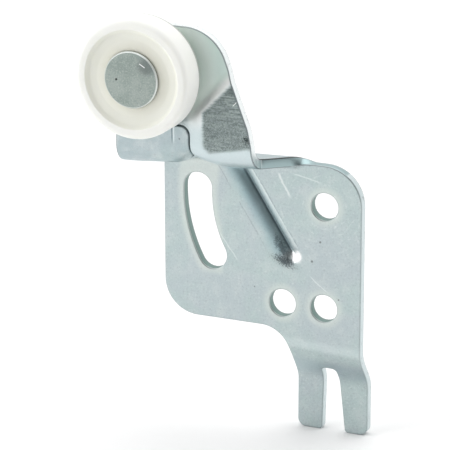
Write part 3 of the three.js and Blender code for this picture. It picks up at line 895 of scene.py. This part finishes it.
    # a dark burr on the back rim at the shelf's end, deepened with painted shade
    shelf_rim_burr_and_shade = shelf_end * f.ramp(f.z, 21.6, 22.0) * f.ramp(f.x, 12.0, 11.0)
    front_side = arm + skirt + plate
    rim_grey = f.mix(front_side, rgb(0.05, 0.055, 0.055), rgb(0.26, 0.30, 0.31))
    rim_grey = f.mix(shelf_rim_burr_and_shade, rim_grey, rgb(0.05, 0.05, 0.05))
    colour = f.mix(rim * (0.85 - 0.45 * plate), colour, rim_grey)

    rough = 0.30 + 0.10 * cloud + 0.08 * patch + 0.16 * scuffed + 0.15 * torn - 0.12 * highlight_spot
    relief = 0.55 * patch + 0.25 * speck + 0.35 * roll + 0.1 * fine
    relief = relief + scuffed * scuff_line * 1.2 - shaded_crease * 1.5 - pits
    return f.shade({
        "Base Color": colour,
        "Metallic": 1.0 - 0.65 * pad,
        "Roughness": rough,
        "Normal": f.bump(relief, 0.03),
    })


def moulded_nylon():
    """White nylon, a little yellow, with painted shade in the dish that deepens round the hub, and a painted
    shade line along the tread's back edge.
    """
    f = Finish("moulded_nylon")
    cloud = f.noise(0.16, 3, 0.5)
    fine = f.noise(3.0, 3, 0.6)
    from_axle = f.distance((AXLE.x, AXLE.z))
    colour = f.mix(f.ramp(cloud, 0.35, 0.65), rgb(0.955, 0.965, 0.91), rgb(0.98, 0.985, 0.94))
    # painted shade in the dished face
    shaded_dish = f.ramp(from_axle, DISH_R + 0.05, DISH_R - 0.15) * f.ramp(f.y, wheel_low.y + 3.0, wheel_low.y + 2.0)
    colour = f.mix(shaded_dish * 0.7, colour, rgb(0.86, 0.865, 0.77))
    # painted shadow, deeper round the rivet's head
    hub_shade = shaded_dish * f.ramp(from_axle + cloud * 1.5, 5.4, 8.8, 1, 0)
    colour = f.mix(hub_shade * 0.55, colour, rgb(0.70, 0.69, 0.57))
    # painted shade line along the tread's back rounding
    back_edge_shade = f.ramp(from_axle, 10.3, 10.8) * f.ramp(f.y, wheel_high.y - 1.5, wheel_high.y - 1.0)
    colour = f.mix(back_edge_shade * 0.6, colour, rgb(0.16, 0.165, 0.155))
    return f.shade({
        "Base Color": colour,
        "Roughness": 0.45 + 0.12 * fine,
        "Specular IOR Level": 0.25,
        "Subsurface Weight": 0.15,
        "Subsurface Radius": (0.003, 0.003, 0.0025),
        "Subsurface Scale": 0.5,
        "Normal": f.bump(fine * 0.5 + cloud, 0.012),
    })


def dull_rivet_steel():
    """Dull zinc on a flat rivet head, with painted shade on part of its face, a painted highlight on the side
    of the head, a painted shadow line at its foot, a scratch and a pit.
    """
    f = Finish("dull_rivet_steel")
    cloud = f.noise(0.35, 4, 0.6)
    fine = f.noise(3.2, 5, 0.75)
    colour = f.mix(f.ramp(cloud, 0.35, 0.65), rgb(0.29, 0.345, 0.32), rgb(0.36, 0.41, 0.385))
    colour = f.mix(f.ramp(fine, 0.50, 0.66) * 0.65, colour, rgb(0.52, 0.57, 0.54))
    colour = f.mix(f.ramp(fine, 0.46, 0.30) * 0.65, colour, rgb(0.17, 0.20, 0.19))
    from_axle = f.distance((AXLE.x, AXLE.z))
    shade_spot = f.distance((AXLE.x + 3.1, AXLE.z + 2.9)) + (cloud - 0.5) * 2.0
    dark = f.ramp(shade_spot, 2.4, 0.6)
    colour = f.mix(dark * 0.6, colour, rgb(0.14, 0.16, 0.16))
    # painted highlight on the side of the head
    head_side_highlight = f.ramp(from_axle, 4.98, 5.1) * f.ramp(f.y, -13.0, -13.2)
    colour = f.mix(head_side_highlight, colour, rgb(0.74, 0.78, 0.77))
    # painted shadow line where the head meets the nylon
    foot_shadow_line = head_side_highlight * f.ramp(f.y, rivet_low.y + 0.35, rivet_low.y + 0.5)
    colour = f.mix(foot_shadow_line, colour, rgb(0.16, 0.18, 0.17))
    scratch = f.ramp(abs(f.beyond((AXLE.x + 2.3, AXLE.z + 2.9), (0.5, 0.87))), 0.13, 0.03)
    scratch = scratch * f.ramp(abs(f.beyond((AXLE.x + 2.3, AXLE.z + 2.9), (0.87, -0.5))), 0.7, 0.5)
    pit = f.ramp(f.distance((AXLE.x - 2.8, AXLE.z - 0.1)), 0.30, 0.12)
    face = f.ramp(f.y, -13.5, -14.0)
    scratch, pit = scratch * face, pit * face
    colour = f.mix(scratch, colour, rgb(0.90, 0.92, 0.92))
    colour = f.mix(pit * 0.9, colour, rgb(0.03, 0.03, 0.03))
    return f.shade({
        "Base Color": colour,
        "Metallic": 1.0,
        "Roughness": 0.36 + 0.15 * fine,
        "Normal": f.bump(cloud + fine * 0.8 - pit * 2.0, 0.03),
    })


def pale_floor():
    f = Finish("pale_floor")
    grain = f.noise(0.5, 3, 0.5)
    colour = f.mix(grain, rgb(0.93, 0.93, 0.93), rgb(0.95, 0.95, 0.95))
    return f.shade({"Base Color": colour, "Roughness": 0.8})


# ---------------------------------------------------------------- the studio
def studio():
    low, high = cad_box
    middle = (low + high) / 2
    bpy.ops.object.select_all(action="DESELECT")
    bpy.ops.mesh.primitive_plane_add(size=FLOOR_SIZE, location=(0, 0, low.z))
    floor = bpy.context.object
    floor.name = "floor"
    floor.data.materials.append(pale_floor())

    aim = middle + Vector((AIM_SHIFT[0], -middle.y, AIM_SHIFT[1]))
    away = Vector((math.sin(CAMERA_AZIMUTH) * math.cos(CAMERA_ELEVATION),
                   -math.cos(CAMERA_AZIMUTH) * math.cos(CAMERA_ELEVATION),
                   math.sin(CAMERA_ELEVATION)))
    camera_data = bpy.data.cameras.new("camera")
    camera_data.lens = CAMERA_LENS
    camera_data.sensor_width = CAMERA_SENSOR
    camera_data.clip_start = 0.01
    camera = bpy.data.objects.new("camera", camera_data)
    camera.location = aim + away * CAMERA_DISTANCE
    camera.rotation_euler = away.to_track_quat("Z", "Y").to_euler()
    bpy.context.scene.collection.objects.link(camera)
    bpy.context.scene.camera = camera

    def soft_box(name, place, size, power):
        data = bpy.data.lights.new(name, "AREA")
        data.shape = "RECTANGLE"
        data.size, data.size_y = size
        data.energy = power
        light = bpy.data.objects.new(name, data)
        light.location = place
        light.rotation_euler = (Vector(place) - aim).to_track_quat("Z", "Y").to_euler()
        bpy.context.scene.collection.objects.link(light)

    soft_box("overhead_light", (0.1, 0.2, 1.1), (1.2, 1.2), 5.0)
    soft_box("left_light", (-0.9, -0.6, 0.5), (0.7, 0.9), 4.0)

    world = bpy.data.worlds.new("studio_air")
    bpy.context.scene.world = world
    world.use_nodes = True
    air = Nodes(world.node_tree)
    direction = air.add("ShaderNodeTexCoord", {}, (), "Generated")
    towards = air.add("ShaderNodeVectorMath", {"operation": "DOT_PRODUCT"}, (direction, away), "Value")
    brightness = air.ramp(towards, 0.45, 0.93, 1.0, 0.12)
    background = air.add("ShaderNodeBackground", {}, {"Color": rgb(1, 1, 1), "Strength": brightness})
    air.add("ShaderNodeOutputWorld", {}, {"Surface": background}, None)
    bpy.context.scene.view_settings.view_transform = "Standard"


def finished(piece, material):
    piece.data.materials.clear()
    piece.data.materials.append(material)


zinc = zinc_plating()
finished(hanger_sheet(), zinc)
finished(nylon_wheel(), moulded_nylon())
finished(rivet(), dull_rivet_steel())
finished(washer(), zinc)
studio()
